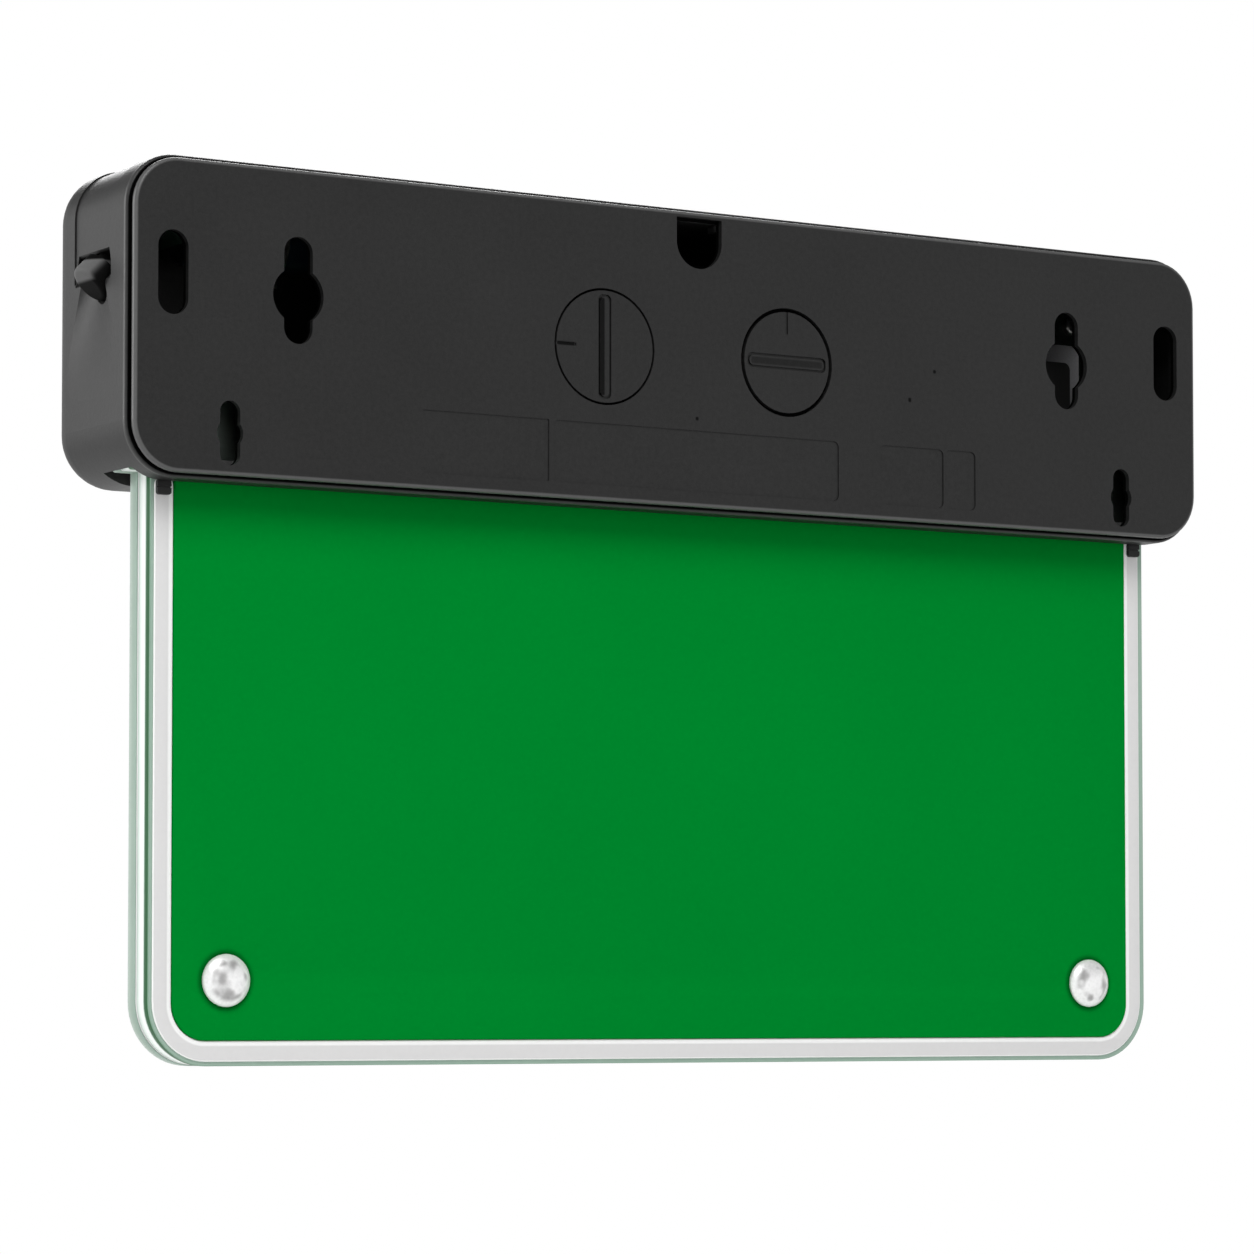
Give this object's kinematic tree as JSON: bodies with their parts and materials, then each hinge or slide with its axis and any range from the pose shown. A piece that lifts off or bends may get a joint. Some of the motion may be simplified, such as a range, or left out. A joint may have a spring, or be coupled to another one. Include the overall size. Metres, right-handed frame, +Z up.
{
  "type": "emergency exit light",
  "caption": "Wall-mounted edge-lit emergency exit light with a black moulded housing, a keyhole back plate, a push test button and a hanging plain green sign panel.",
  "frame": {"origin": "centre of the back plate's wall face", "axes": "+Y out of the back plate into the wall, +Z up, +X along the housing towards the end with the test button"},
  "size_m": [0.3271, 0.0458, 0.218],
  "materials": {
    "housing_black": "fine satin grain, black",
    "button_black": "gloss black",
    "clear_acrylic": "polished clear sheet with a green-grey edge",
    "reflector_white": "satin white",
    "front_field": "plain green printed film",
    "border_white": "smooth white",
    "sign_green": "smooth green",
    "polished_metal": "polished",
    "black_screw": "black",
    "channel_aluminium": "drawn",
    "zinc_steel": "zinc plated",
    "white_board": "white solder mask",
    "led_lens": "yellow lens in a white package",
    "board_mask": "dark solder mask",
    "core_steel": "varnished laminations",
    "coil_tape": "black winding tape",
    "capacitor_sleeve": "dark shrink sleeve",
    "terminal_plastic": "dark green moulding",
    "relay_case": "black moulding",
    "package_black": "black moulding",
    "fuse_glass": "clear tube with metal caps",
    "socket_white": "off-white moulding",
    "battery_sleeve": "dark blue shrink sleeve",
    "switch_case": "black moulding",
    "plunger_plastic": "black moulding",
    "lead_insulation": "black insulation"
  },
  "bodies": {
    "housing": {"front_shell": "housing_black", "back_plate": "housing_black", "light_guide": "clear_acrylic", "rear_sheet": "clear_acrylic", "reflector_sheet": "reflector_white", "front_face": "front_field", "white_border": "border_white", "green_panel": "sign_green", "panel_cap_nuts": "polished_metal", "panel_screws": "polished_metal", "panel_top_screws": "black_screw", "panel_channel": "channel_aluminium", "channel_screws": "zinc_steel", "board_screws": "zinc_steel", "switch_screws": "zinc_steel", "battery_straps": "zinc_steel", "led_board": "white_board", "leds": "led_lens", "driver_board": "board_mask", "switch_board": "board_mask", "transformer_core": "core_steel", "transformer_coil": "coil_tape", "capacitors": "capacitor_sleeve", "terminal_block": "terminal_plastic", "relay": "relay_case", "driver_chip": "package_black", "diodes": "package_black", "fuse": "fuse_glass", "battery_socket": "socket_white", "led_socket": "socket_white", "battery_pack": "battery_sleeve", "push_switch": "switch_case", "battery_leads": "lead_insulation", "led_leads": "lead_insulation", "switch_leads": "lead_insulation"},
    "test_button": {"test_button": "button_black", "switch_plunger": "plunger_plastic"}
  },
  "joints": [
    {"name": "test_button_press", "type": "slide", "parent": "housing", "child": "test_button", "axis": [-0.7071, 0, 0.7071], "range_m": [0, 0.0016], "stiffness_N_per_m": 400}
  ]
}
